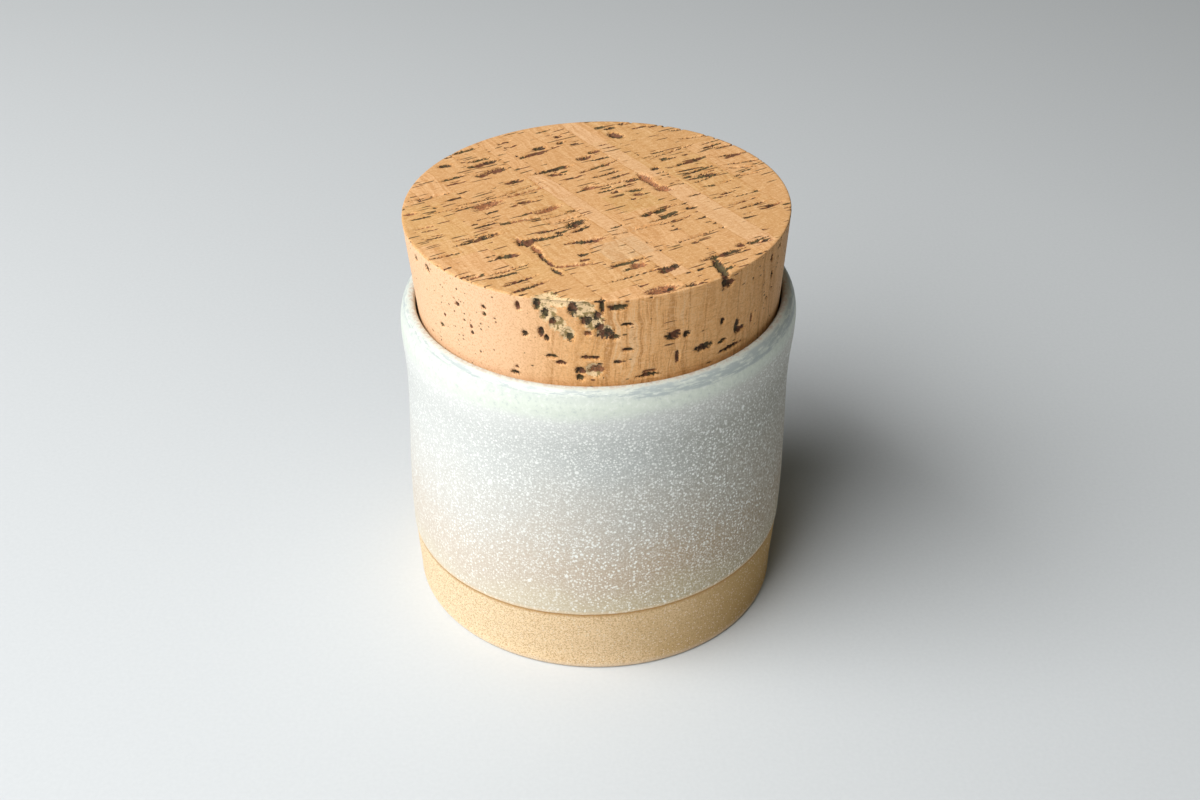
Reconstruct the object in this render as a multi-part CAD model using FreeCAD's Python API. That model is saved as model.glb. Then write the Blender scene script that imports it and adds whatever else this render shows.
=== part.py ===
import FreeCAD, Part
import math
import os

# Stoneware salt jar with a tapered cork stopper, standing on its foot, in millimetres.
# The origin is the middle of the foot on the surface that it stands on, and +Z is up.
# The jar was thrown by hand: its lip isn't quite level with its foot and rises towards +X,
# and the stopper stands square in the mouth, so its top leans a little towards -X.

# The thrown stoneware jar
body_height = 85.7      # foot to the crest of the lip
body_radius = 49.6      # the wall at its fullest
foot_inset = 1.6        # how far the foot is drawn in under the wall
foot_round = 1.0        # worn edge of the foot
belly_height = 28.0     # where the wall reaches its full radius
waist_inset = 0.6       # slight hollow in the upper wall
waist_drop = 27.5       # the hollow below the crest
neck_inset = 0.3        # the wall just under the lip's swelling
neck_drop = 15.2        # the neck below the crest
lip_swell = 0.4         # how far the lip stands out past the wall
lip_wall = 4.0          # thickness of the lip, outside to inside
mouth_round = 1.2       # rounding of the lip's inner edge
lip_drop = 6.0          # the lip's widest ring below the crest
lip_cant = 1.75         # degrees that the lip rises towards +X

# The cork stopper
cork_stand = 23.0       # height above the crest of the lip
cork_depth = 12.0       # length held in the mouth
cork_taper = 4.5        # degrees that the side leans in towards the bottom
cork_play = 0.4         # gap to the mouth at the crest's height
cork_edge = 0.35        # broken edge round both ends

# Worked out from the sizes above
mouth_radius = body_radius + lip_swell - lip_wall
seat_height = body_height - cork_depth
cork_lean = math.tan(math.radians(cork_taper))
cant_rise = math.tan(math.radians(lip_cant))

AXIS_START = FreeCAD.Vector(0, 0, 0)
AXIS = FreeCAD.Vector(0, 0, 1)
FRONT_TO_BACK = FreeCAD.Vector(0, 1, 0)
ROUND_HANDLE = 4 / 3 * math.tan(math.pi / 8)    # Bezier handle that draws a quarter round


def at(radius, height):
    """A point of an outline, in the XZ plane."""
    return FreeCAD.Vector(radius, 0, height)


def line(start, end):
    return Part.LineSegment(start, end).toShape()


def quarter_round(start, corner, end):
    """A smooth quarter turn that meets both sides of its corner."""
    handle_in = start + (corner - start) * ROUND_HANDLE
    handle_out = end + (corner - end) * ROUND_HANDLE
    curve = Part.BezierCurve()
    curve.setPoles([start, handle_in, handle_out, end])
    return curve.toShape()


def turned(edges):
    """The solid that a closed outline makes round the axis."""
    face = Part.Face(Part.Wire(edges))
    return face.revolve(AXIS_START, AXIS, 360)


def canted(shape):
    """The shape with every level line on it rising towards +X, and its sides still upright."""
    rise = FreeCAD.Matrix()
    rise.A31 = cant_rise
    return shape.transformGeometry(rise)


def trimmed_level(shape):
    """The part of the shape above the ground, with its foot's edge worn round."""
    reach = 2 * (body_radius + lip_swell)
    ground = Part.makeBox(2 * reach, 2 * reach, reach, FreeCAD.Vector(-reach, -reach, -reach))
    standing = shape.cut(ground).Solids[0]
    foot_rim = min(standing.Edges, key=lambda edge: edge.optimalBoundingBox().ZMax)
    return standing.makeFillet(foot_round, [foot_rim]).Solids[0]


def make_jar():
    """The jar, whole below the stopper's seat because its shut inside has no known shape."""
    foot_radius = body_radius - foot_inset
    spare_height = 2 * body_radius * cant_rise      # cut away again once the lip is canted
    spare_radius = foot_radius - foot_inset * spare_height / belly_height
    lip_radius = body_radius + lip_swell
    crest_radius = mouth_radius + mouth_round
    waist_height = body_height - waist_drop
    neck_height = body_height - neck_drop
    lip_height = body_height - lip_drop

    spare_centre = at(0, -spare_height)
    spare_edge = at(spare_radius, -spare_height)
    belly = at(body_radius, belly_height)
    waist = at(body_radius - waist_inset, waist_height)
    neck = at(body_radius - neck_inset, neck_height)
    lip_side = at(lip_radius, lip_height)
    crest = at(crest_radius, body_height)
    mouth = at(mouth_radius, body_height - mouth_round)
    seat_edge = at(mouth_radius, seat_height)
    seat_centre = at(0, seat_height)

    wall = Part.BSplineCurve()
    wall.interpolate(
        Points=[spare_edge, belly, waist, neck, lip_side],
        InitialTangent=belly - spare_edge,
        FinalTangent=AXIS,
    )
    thrown = turned([
        line(spare_centre, spare_edge),
        wall.toShape(),
        quarter_round(lip_side, at(lip_radius, body_height), crest),
        quarter_round(crest, at(mouth_radius, body_height), mouth),
        line(mouth, seat_edge),
        line(seat_edge, seat_centre),
        line(seat_centre, spare_centre),
    ])
    return trimmed_level(canted(thrown))


def make_stopper():
    """A tapered cork that stands square on its canted seat, centred in the mouth at the crest."""
    cork_held = cork_depth * math.cos(math.radians(lip_cant))   # the depth, along the cork's own axis
    crest_radius = mouth_radius - cork_play
    bottom_radius = crest_radius - cork_lean * cork_held
    top_radius = crest_radius + cork_lean * cork_stand
    stopper = Part.makeCone(bottom_radius, top_radius, cork_held + cork_stand,
                            at(0, body_height - cork_held), AXIS)
    rims = [edge for edge in stopper.Edges if edge.isClosed()]
    stopper = stopper.makeChamfer(cork_edge, rims).Solids[0]
    stopper.rotate(at(0, body_height), FRONT_TO_BACK, -lip_cant)
    return stopper


os.makedirs("parts", exist_ok=True)
nodes = {
    "stoneware_jar": make_jar(),
    "cork_stopper": make_stopper(),
}
for name, shape in nodes.items():
    shape.exportStep(f"parts/{name}.step")
    box = shape.optimalBoundingBox()
    print(name, shape.ShapeType, shape.isValid(), round(shape.Volume / 1000, 1), "cm3",
          [round(v, 2) for v in (box.XMin, box.YMin, box.ZMin, box.XMax, box.YMax, box.ZMax)])
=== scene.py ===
import math

import bmesh
import bpy
import numpy as np
from mathutils import Euler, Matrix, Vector


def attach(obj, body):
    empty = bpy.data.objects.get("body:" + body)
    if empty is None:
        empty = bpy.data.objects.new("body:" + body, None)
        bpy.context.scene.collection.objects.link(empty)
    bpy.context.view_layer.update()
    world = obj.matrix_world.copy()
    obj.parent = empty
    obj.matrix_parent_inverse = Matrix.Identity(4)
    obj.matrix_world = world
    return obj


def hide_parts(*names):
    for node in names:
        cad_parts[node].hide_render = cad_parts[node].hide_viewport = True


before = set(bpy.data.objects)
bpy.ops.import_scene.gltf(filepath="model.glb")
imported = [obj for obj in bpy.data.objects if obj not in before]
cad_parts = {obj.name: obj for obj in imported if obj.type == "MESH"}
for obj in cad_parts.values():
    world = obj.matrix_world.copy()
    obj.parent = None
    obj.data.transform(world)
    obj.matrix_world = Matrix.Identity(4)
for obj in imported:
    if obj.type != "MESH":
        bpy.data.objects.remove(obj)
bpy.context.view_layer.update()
scene = bpy.context.scene
MM = 0.001


# --- The view ---------------------------------------------------------------
# A standing person's look down at a table: a short portrait lens, the camera in front
# of the jar and the head held a touch out of level.
LENS = 49.8
VIEW_DISTANCE = 437.3 * MM
VIEW_DROP = math.radians(33.9)
VIEW_ROLL = math.radians(0.7)
VIEW_POINT = Vector((0.8, 0.0, 50.6)) * MM

camera = bpy.data.objects.new("camera", bpy.data.cameras.new("camera"))
camera.data.lens = LENS
camera.data.sensor_width = 36
camera.data.clip_start = 0.01
away = Vector((0, -math.cos(VIEW_DROP), math.sin(VIEW_DROP)))
camera.location = VIEW_POINT + away * VIEW_DISTANCE
look = Euler((math.pi / 2 - VIEW_DROP, 0, 0)).to_matrix()
camera.rotation_euler = (look @ Euler((0, 0, VIEW_ROLL)).to_matrix()).to_euler()
scene.collection.objects.link(camera)
scene.camera = camera


# --- The clay jar -----------------------------------------------------------
# One wall of buff stoneware clay, thrown on a wheel by hand and trimmed flat at the foot.
# It stays bare below the glaze. Its outline is turned once round by Geometry Nodes, which
# add the wall's slight unevenness, and it is whole inside because it is shut.
CANT_TURN = math.radians(1.75)      # the lip rises towards +X
CANT = math.tan(CANT_TURN)
LIP_HEIGHT = 79.7 * MM
CREST_HEIGHT = 85.7 * MM
LIP_RADIUS = 50.0 * MM
MOUTH_RADIUS = 46.0 * MM
MOUTH_ROUND = 1.2 * MM
SEAT_HEIGHT = 73.7 * MM
FOOT_ROUND = 1.0 * MM
GLAZE_EDGE = 19.1 * MM              # where the glaze ends, at the front
EDGE_SLANT = 0.5 * MM               # how aslant the glaze was dipped
EDGE_WAVE = 0.9 * MM                # slow rise and fall of its edge
EDGE_RIPPLE = 0.25 * MM             # and the quick one
SLANT_FADES = 48 * MM               # height at which the slant has died away
COVERED_FROM = 24 * MM              # from here up the glaze hides the clay
FACET = 4 * MM                      # how far up and down the wall's facets are averaged
UNDER_GLAZE = 0.12 * MM             # how far the clay lies under the glaze
UNEVENNESS = 0.35 * MM              # slow dents of the wall
FINGER_RINGS = 0.10 * MM            # rings that the fingers leave
CLAY_COLUMNS = 360


def node(tree, kind, inputs=None, **settings):
    """A new node with its settings made and its inputs filled or linked."""
    made = tree.nodes.new(kind)
    for name, value in settings.items():
        setattr(made, name, value)
    for key, value in (inputs or {}).items():
        if isinstance(value, bpy.types.NodeSocket):
            tree.links.new(value, made.inputs[key])
        else:
            made.inputs[key].default_value = value
    return made


def calc(tree, operation, a, b=0.0, c=0.0, clamp=False):
    made = node(tree, "ShaderNodeMath", {0: a, 1: b, 2: c}, operation=operation, use_clamp=clamp)
    return made.outputs[0]


def plus(tree, a, b):
    return calc(tree, "ADD", a, b)


def minus(tree, a, b):
    return calc(tree, "SUBTRACT", a, b)


def times(tree, a, b):
    return calc(tree, "MULTIPLY", a, b)


def times_plus(tree, a, b, c):
    return calc(tree, "MULTIPLY_ADD", a, b, c)


def vector(tree, x, y, z):
    return node(tree, "ShaderNodeCombineXYZ", {0: x, 1: y, 2: z}).outputs[0]


def parts_of(tree, value):
    return node(tree, "ShaderNodeSeparateXYZ", {0: value}).outputs


def length_of(tree, value):
    return node(tree, "ShaderNodeVectorMath", {0: value}, operation="LENGTH").outputs["Value"]


def spread(tree, value, low, high, to_low=0.0, to_high=1.0, smooth=True):
    """The value carried from one range to another, and kept inside it."""
    kind = "SMOOTHSTEP" if smooth else "LINEAR"
    return node(tree, "ShaderNodeMapRange", {0: value, 1: low, 2: high, 3: to_low, 4: to_high},
                interpolation_type=kind).outputs[0]


def noise(tree, place, scale, detail=2.0, roughness=0.5, distortion=0.0):
    return node(tree, "ShaderNodeTexNoise", {"Vector": place, "Scale": scale, "Detail": detail,
                "Roughness": roughness, "Distortion": distortion}).outputs["Fac"]


def mixed(tree, factor, a, b):
    """Colour a turning into colour b."""
    return node(tree, "ShaderNodeMix", {0: factor, 6: a, 7: b}, data_type="RGBA").outputs[2]


def wall_radius(level):
    """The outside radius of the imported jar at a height, its facets smoothed away."""
    points = np.array([v.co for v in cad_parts["stoneware_jar"].data.vertices])
    radii = np.hypot(points[:, 0], points[:, 1])
    levels = points[:, 2] - points[:, 0] * CANT
    wall = (radii > MOUTH_RADIUS + MOUTH_ROUND) & (levels < LIP_HEIGHT) & (points[:, 2] > FOOT_ROUND)
    order = np.argsort(levels[wall])
    along = np.asarray(level)[:, None] + np.linspace(-1, 1, 9) * FACET
    found = np.interp(along, levels[wall][order], radii[wall][order])
    return np.where(np.abs(along - LIP_HEIGHT).min(1) < FACET, found[:, 4], found.mean(1))


def quarter(start, corner, end, steps):
    """Points of a quarter round from start to end, without start."""
    turn = np.linspace(0, math.pi / 2, steps + 1)[1:, None]
    start, corner, end = (np.array(p) for p in (start, corner, end))
    centre = start + end - corner
    return centre + (start - centre) * np.cos(turn) + (end - centre) * np.sin(turn)


def new_group(name, kind, inlets, outlet):
    """A node tree with named inputs and one output, and the sockets that its inputs arrive on."""
    tree = bpy.data.node_groups.new(name, kind)
    for label, socket in inlets.items():
        tree.interface.new_socket(label, in_out="INPUT", socket_type=f"NodeSocket{socket}")
    label, socket = outlet
    tree.interface.new_socket(label, in_out="OUTPUT", socket_type=f"NodeSocket{socket}")
    return tree, node(tree, "NodeGroupInput").outputs


def finished(tree, shape, material):
    """Ends a Geometry Nodes tree: the shape is smooth, real and dressed in its material."""
    smooth = node(tree, "GeometryNodeSetShadeSmooth", {0: shape}).outputs[0]
    real = node(tree, "GeometryNodeRealizeInstances", {0: smooth}).outputs[0]
    dressed = node(tree, "GeometryNodeSetMaterial", {0: real, "Material": material}).outputs[0]
    node(tree, "NodeGroupOutput", {0: dressed})
    return tree


def wheel_tree():
    """Geometry Nodes that turn an outline once round and shape it as a hand does."""
    tree, given = new_group("turned_on_the_wheel", "GeometryNodeTree", {
        "Outline": "Geometry", "Columns": "Int", "Cant": "Float", "Unevenness": "Float",
        "Throwing rings": "Float", "Edge height": "Float", "Edge follows": "Float",
        "Seed": "Float", "Material": "Material"}, ("Turned", "Geometry"))
    size = node(tree, "GeometryNodeAttributeDomainSize", {0: given["Outline"]}).outputs["Point Count"]
    columns = plus(tree, given["Columns"], 1)
    sheet = node(tree, "GeometryNodeMeshGrid", {"Size X": 1.0, "Size Y": 1.0, "Vertices X": columns,
                 "Vertices Y": size}).outputs["Mesh"]
    index = node(tree, "GeometryNodeInputIndex").outputs[0]
    column = calc(tree, "FLOOR", calc(tree, "DIVIDE", plus(tree, index, 0.5), size))
    row = minus(tree, index, times(tree, column, size))
    here = node(tree, "GeometryNodeInputPosition").outputs[0]
    taken = node(tree, "GeometryNodeSampleIndex", {"Geometry": given["Outline"], "Index": row,
                 "Value": here}, data_type="FLOAT_VECTOR").outputs[0]
    radius, _, level = parts_of(tree, taken)
    angle = times(tree, calc(tree, "DIVIDE", column, given["Columns"]), 2 * math.pi)
    across, along = calc(tree, "COSINE", angle), calc(tree, "SINE", angle)

    # the glaze was dipped a little aslant: its edge hangs lower on the -X side
    ring = vector(tree, across, along, given["Seed"])
    wave = minus(tree, noise(tree, ring, 1.7), 0.5)
    ripple = minus(tree, noise(tree, ring, 9.0), 0.5)
    slant = times(tree, across, EDGE_SLANT)
    slant = times_plus(tree, wave, EDGE_WAVE, slant)
    slant = times_plus(tree, ripple, EDGE_RIPPLE, slant)
    near = spread(tree, level, given["Edge height"], SLANT_FADES, 1.0, 0.0)
    shift = times(tree, times(tree, slant, near), given["Edge follows"])
    left_out = times(tree, slant, minus(tree, 1.0, given["Edge follows"]))
    drop = minus(tree, minus(tree, level, given["Edge height"]), left_out)

    # slow dents of the hand, and the faint rings that its fingers leave
    dent_place = vector(tree, across, along, times_plus(tree, level, 18.0, given["Seed"]))
    dent = minus(tree, noise(tree, dent_place, 1.3, 1.0), 0.8)
    ring_place = vector(tree, times(tree, across, 0.4), times(tree, along, 0.4),
                        times(tree, level, 190.0))
    finger = minus(tree, noise(tree, ring_place, 1.0, 1.0), 0.8)
    outside = spread(tree, radius, MOUTH_RADIUS, LIP_RADIUS - 3.0 * MM)
    standing = spread(tree, level, 0.5 * MM, 5 * MM)
    give = times(tree, dent, given["Unevenness"])
    give = times_plus(tree, finger, given["Throwing rings"], give)
    give = times(tree, give, times(tree, outside, standing))
    full = plus(tree, radius, give)
    x, y = times(tree, full, across), times(tree, full, along)
    z = plus(tree, level, shift)
    rise = times(tree, x, given["Cant"])
    z = times_plus(tree, rise, spread(tree, level, 0.0, 6 * MM), z)
    here = vector(tree, x, y, z)
    marked = node(tree, "GeometryNodeSetPosition", {"Geometry": sheet, "Position": here}).outputs[0]
    for name, value in (("edge_drop", drop), ("level", level)):
        marked = node(tree, "GeometryNodeStoreNamedAttribute", {"Geometry": marked, "Name": name,
                      "Value": value}, data_type="FLOAT", domain="POINT").outputs[0]
    joined = node(tree, "GeometryNodeMergeByDistance", {0: marked, "Distance": 0.002 * MM}).outputs[0]
    return finished(tree, joined, given["Material"])


def baked(piece, tree, values):
    """Runs a Geometry Nodes tree on a piece and leaves it a plain closed mesh."""
    modifier = piece.modifiers.new(tree.name, "NODES")
    modifier.node_group = tree
    for item in tree.interface.items_tree:
        if item.in_out == "INPUT" and item.name in values:
            modifier[item.identifier] = values[item.name]
    bpy.context.view_layer.update()
    shaped = piece.evaluated_get(bpy.context.evaluated_depsgraph_get())
    mesh = bpy.data.meshes.new_from_object(shaped)
    piece.modifiers.clear()
    old = piece.data
    piece.data = mesh
    mesh.name = old.name
    bpy.data.meshes.remove(old)
    work = bmesh.new()
    work.from_mesh(mesh)
    bmesh.ops.recalc_face_normals(work, faces=work.faces)
    work.to_mesh(mesh)
    work.free()


def outline_piece(name, points):
    """A piece whose mesh is only its outline, ready to be turned."""
    mesh = bpy.data.meshes.new(name)
    mesh.from_pydata([(r, 0, z) for r, z in points], [(i, i + 1) for i in range(len(points) - 1)], [])
    piece = bpy.data.objects.new(name, mesh)
    scene.collection.objects.link(piece)
    return piece


def new_material(name):
    """An empty material and its surface shader."""
    material = bpy.data.materials.new(name)
    material.use_nodes = True
    tree = material.node_tree
    tree.nodes.clear()
    shader = node(tree, "ShaderNodeBsdfPrincipled")
    node(tree, "ShaderNodeOutputMaterial", {0: shader.outputs[0]})
    return material, tree, shader


def surfaced(tree, shader, colour, rough, relief, strength, deep):
    """Gives a surface shader its colour, its roughness and its fine relief."""
    bump = node(tree, "ShaderNodeBump", {"Strength": strength, "Distance": deep, "Height": relief})
    tree.links.new(colour, shader.inputs["Base Color"])
    tree.links.new(rough, shader.inputs["Roughness"])
    tree.links.new(bump.outputs[0], shader.inputs["Normal"])


def speckle_group():
    """Round grains scattered through clay or glaze: 1 inside a grain, and 0 outside."""
    tree, given = new_group("scattered_grains", "ShaderNodeTree", {
        "Place": "Vector", "Grains per metre": "Float", "Share": "Float", "Smallest": "Float",
        "Largest": "Float", "Softness": "Float"}, ("Mask", "Float"))
    cells = node(tree, "ShaderNodeTexVoronoi", {"Vector": given["Place"], "Randomness": 1.0,
                 "Scale": given["Grains per metre"]}, feature="F1")
    chance, girth, _ = parts_of(tree, cells.outputs["Color"])
    size = spread(tree, girth, 0.0, 1.0, given["Smallest"], given["Largest"], smooth=False)
    inner = minus(tree, size, given["Softness"])
    inside = spread(tree, cells.outputs["Distance"], inner, size, 1.0, 0.0)
    there = calc(tree, "LESS_THAN", chance, given["Share"])
    node(tree, "NodeGroupOutput", {0: times(tree, inside, there)})
    return tree


def grains(tree, group, place, per_metre, share, smallest, largest, softness):
    made = node(tree, "ShaderNodeGroup", {"Place": place, "Grains per metre": per_metre, "Share": share,
                "Smallest": smallest, "Largest": largest, "Softness": softness}, node_tree=group)
    return made.outputs[0]


def attribute(tree, name, output="Fac"):
    made = node(tree, "ShaderNodeAttribute", attribute_name=name, attribute_type="GEOMETRY")
    return made.outputs[output]


wheel = wheel_tree()
scattered = speckle_group()

# The bare clay: sandy buff, painted paler on the lit -X side and a darker ochre on the shaded +X side as
# painted light and shade;
# it is toasted along the glaze and paler at the worn foot.
CLAY_PAINTED_LIGHT = (0.88, 0.71, 0.47, 1)
CLAY_BUFF = (0.85, 0.63, 0.38, 1)
# painted shade for the +X side of the clay
CLAY_PAINTED_SHADE = (0.52, 0.33, 0.115, 1)
CLAY_DEEP = (0.48, 0.29, 0.12, 1)
CLAY_TOAST = (0.46, 0.245, 0.072, 1)
CLAY_PALE = (0.82, 0.66, 0.5, 1)
CLAY_GRAIN = (0.9, 0.77, 0.59, 1)
CLAY_SPECK = (0.42, 0.25, 0.12, 1)
# Grains: cells to the metre, the share that hold one, the smallest and largest, and the soft rim.
SAND = (1750.0, 0.55, 0.18, 0.48, 0.10)
IRON = (700.0, 0.04, 0.12, 0.30, 0.15)
PAINTED_LIGHT_REACH = 46 * MM               # how far out the painted light and painted shade are full
TOAST_BAND = 1.5 * MM               # width of the toasted line along the glaze

clay, tree, shader = new_material("bare_clay")
place = node(tree, "ShaderNodeTexCoord").outputs["Object"]
cloud = noise(tree, place, 60.0, 3.0)
# painted light and shade: paler towards the lit -X side, darker ochre towards the shaded +X side
lit_to_shaded = times_plus(tree, minus(tree, cloud, 0.5), 30 * MM, parts_of(tree, place)[0])
colour = mixed(tree, spread(tree, lit_to_shaded, -PAINTED_LIGHT_REACH, 2 * MM), CLAY_PAINTED_LIGHT, CLAY_BUFF)
colour = mixed(tree, spread(tree, lit_to_shaded, 2 * MM, PAINTED_LIGHT_REACH), colour, CLAY_PAINTED_SHADE)
fine = noise(tree, place, 2600.0, 2.0, 0.6)
colour = mixed(tree, spread(tree, fine, 0.44, 0.64, 0.0, 0.75), colour, CLAY_DEEP)
sand = grains(tree, scattered, place, *SAND)
colour = mixed(tree, times(tree, sand, 0.65), colour, CLAY_GRAIN)
iron = grains(tree, scattered, place, *IRON)
colour = mixed(tree, times(tree, iron, 0.45), colour, CLAY_SPECK)
drop = attribute(tree, "edge_drop")
toast = spread(tree, drop, -TOAST_BAND, -0.1 * MM)
colour = mixed(tree, times(tree, toast, 0.90), colour, CLAY_TOAST)
level = attribute(tree, "level")
worn = spread(tree, level, 0.6 * MM, 2.2 * MM, 0.55, 0.0)
colour = mixed(tree, worn, colour, CLAY_PALE)
rough = spread(tree, fine, 0.3, 0.7, 0.78, 0.94, smooth=False)
relief = times_plus(tree, fine, 0.5, times(tree, sand, 0.6))
surfaced(tree, shader, colour, rough, relief, 0.55, 0.06 * MM)

shown = np.arange(FOOT_ROUND, COVERED_FROM, 0.5 * MM)
covered = np.arange(COVERED_FROM, LIP_HEIGHT, 2.4 * MM)
levels = np.concatenate([shown, covered])
hidden = np.clip((levels - GLAZE_EDGE) / (2 * MM), 0, 1) * UNDER_GLAZE
wall = np.stack([wall_radius(levels) - hidden, levels], 1)
foot_radius = wall[0, 0]
lip = (LIP_RADIUS - UNDER_GLAZE, LIP_HEIGHT)
crest_radius = MOUTH_RADIUS + MOUTH_ROUND
crest = CREST_HEIGHT - UNDER_GLAZE
mouth = MOUTH_RADIUS + UNDER_GLAZE
clay_outline = np.concatenate([
    [(r, 0.0) for r in np.linspace(0, foot_radius - FOOT_ROUND, 8)],
    quarter((foot_radius - FOOT_ROUND, 0), (foot_radius, 0), (foot_radius, FOOT_ROUND), 5)[:-1],
    wall,
    [lip],
    quarter(lip, (lip[0], crest), (crest_radius, crest), 8),
    quarter((crest_radius, crest), (mouth, crest), (mouth, CREST_HEIGHT - MOUTH_ROUND), 6),
    [(mouth, z) for z in np.linspace(CREST_HEIGHT - 2 * MOUTH_ROUND, SEAT_HEIGHT, 5)],
    [(r, SEAT_HEIGHT) for r in np.linspace(MOUTH_RADIUS - 2 * MM, 0, 8)],
])
clay_jar = outline_piece("clay_jar", clay_outline)
hand = {"Cant": CANT, "Unevenness": UNEVENNESS, "Throwing rings": FINGER_RINGS,
        "Edge height": GLAZE_EDGE, "Seed": 3.0}
baked(clay_jar, wheel, {**hand, "Columns": CLAY_COLUMNS, "Edge follows": 0.0, "Material": clay})
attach(clay_jar, "root")
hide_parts("stoneware_jar")


# --- The glaze coat ---------------------------------------------------------
# A satin glaze, dipped over everything but the foot: pale flecks floating over a warm grey
# ground, and a smooth mint-white band where it pooled under the lip.
GLAZE_COLUMNS = 420
POOL = 0.22 * MM                    # thickness of the bead at the glaze's lower edge
SHEET = 0.10 * MM                   # thickness over the clay's wall
BURIED = 0.25 * MM                  # how far the coat's inside reaches into the clay
GROUND_TOP = (0.43, 0.455, 0.445, 1)
GROUND_MID = (0.45, 0.42, 0.37, 1)
GROUND_WARM = (0.48, 0.36, 0.24, 1)
GROUND_LOW = (0.55, 0.45, 0.27, 1)
# painted shade for the +X side of the ground
GROUND_PAINTED_SHADE = (0.29, 0.235, 0.135, 1)
FLECK = (0.93, 0.955, 0.935, 1)
FLECK_LOW = (0.93, 0.91, 0.84, 1)
# painted light for the -X side of the coat
GLAZE_PAINTED_LIGHT = (0.775, 0.795, 0.775, 1)
GLAZE_PAINTED_LIGHT_LOW = (0.79, 0.75, 0.68, 1)
LIP_BAND = (0.68, 0.74, 0.665, 1)
LIP_MILK = (0.595, 0.65, 0.605, 1)
LIP_BLUE = (0.36, 0.42, 0.44, 1)
LIP_BROWN = (0.43, 0.35, 0.29, 1)
RUST = (0.4, 0.19, 0.06, 1)
FROST = (2000.0, 0.55, 0.24, 0.54, 0.10)  # grains, as in the clay
FLECKS = (1300.0, 0.84, 0.18, 0.50, 0.10)
DROPS = (430.0, 0.085, 0.10, 0.27, 0.05)
RUST_SPOTS = (95.0, 0.03, 0.04, 0.075, 0.03)
BAND_FOOT = 76.6 * MM               # where the band under the lip fades in
BAND_FULL = 80.4 * MM
STREAK_FOOT = 83.9 * MM             # lowest level of the blue streaks
STREAK_TOP = 85.65 * MM

glaze, tree, shader = new_material("satin_glaze")
place = node(tree, "ShaderNodeTexCoord").outputs["Object"]
level = attribute(tree, "level")
drop = attribute(tree, "edge_drop")
slow = noise(tree, place, 45.0, 3.0)
wander = times(tree, minus(tree, slow, 0.5), 20 * MM)
height_here = plus(tree, level, wander)
ground = mixed(tree, spread(tree, height_here, 46 * MM, 66 * MM), GROUND_MID, GROUND_TOP)
ground = mixed(tree, spread(tree, height_here, 50 * MM, 33 * MM), ground, GROUND_WARM)
ground = mixed(tree, spread(tree, height_here, 31 * MM, 21 * MM), ground, GROUND_LOW)
low_down = spread(tree, level, 42 * MM, 22 * MM)
white = mixed(tree, low_down, FLECK, FLECK_LOW)

# painted shade: the ground is painted darker and warmer towards the shaded +X side; the coat is milkier
# under the band, and further on it is painted paler towards the lit -X side as painted light
x, y, _ = parts_of(tree, place)
ground = mixed(tree, spread(tree, x, 4 * MM, 46 * MM, 0.0, 0.50), ground, GROUND_PAINTED_SHADE)
ground = mixed(tree, spread(tree, level, 68 * MM, 78 * MM, 0.0, 0.30), ground, white)

# flecks of three sizes: a close frost, round flecks over it, and a few larger drops
fine = noise(tree, place, 2100.0, 2.0, 0.6)
colour = mixed(tree, spread(tree, fine, 0.46, 0.62, 0.0, 0.30), ground, white)
frost = grains(tree, scattered, place, *FROST)
flecks = grains(tree, scattered, place, *FLECKS)
drops = grains(tree, scattered, place, *DROPS)
thick = times_plus(tree, spread(tree, slow, 0.35, 0.65), 0.30, 0.70)
colour = mixed(tree, times(tree, frost, 0.62), colour, white)
colour = mixed(tree, times(tree, flecks, times(tree, thick, 0.95)), colour, white)
colour = mixed(tree, times(tree, drops, 0.95), colour, white)
rust = grains(tree, scattered, place, *RUST_SPOTS)
colour = mixed(tree, times(tree, rust, 0.8), colour, RUST)
# painted light: the colour is painted paler and milkier towards the lit -X side
painted_light = mixed(tree, low_down, GLAZE_PAINTED_LIGHT, GLAZE_PAINTED_LIGHT_LOW)
colour = mixed(tree, spread(tree, x, 28 * MM, -42 * MM, 0.0, 0.46), colour, painted_light)
thin = spread(tree, drop, 1.3 * MM, 0.2 * MM)
colour = mixed(tree, times(tree, thin, 0.55), colour, CLAY_BUFF)

# the band under the lip, with broken blue streaks on its shoulder, widened into painted shade towards +X,
# and brown mottling inside
from_axis = length_of(tree, vector(tree, x, y, 0.0))
curd = noise(tree, place, 900.0, 3.0, 0.65)
band_edge = times_plus(tree, minus(tree, slow, 0.5), 4 * MM, level)
band_edge = times_plus(tree, minus(tree, curd, 0.5), 2.5 * MM, band_edge)
band_edge = times_plus(tree, x, -0.02, band_edge)
band = spread(tree, band_edge, BAND_FOOT, BAND_FULL)
ring_place = vector(tree, calc(tree, "DIVIDE", x, 5 * MM), calc(tree, "DIVIDE", y, 5 * MM),
                    calc(tree, "DIVIDE", level, 0.7 * MM))
streak = noise(tree, ring_place, 1.0, 4.0, 0.72)
lip_colour = mixed(tree, spread(tree, level, 81.6 * MM, 84.0 * MM), LIP_BAND, LIP_MILK)
lip_colour = mixed(tree, spread(tree, curd, 0.50, 0.72, 0.0, 0.35), lip_colour, FLECK)
lip_colour = mixed(tree, spread(tree, curd, 0.46, 0.30, 0.0, 0.35), lip_colour, LIP_BLUE)
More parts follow.
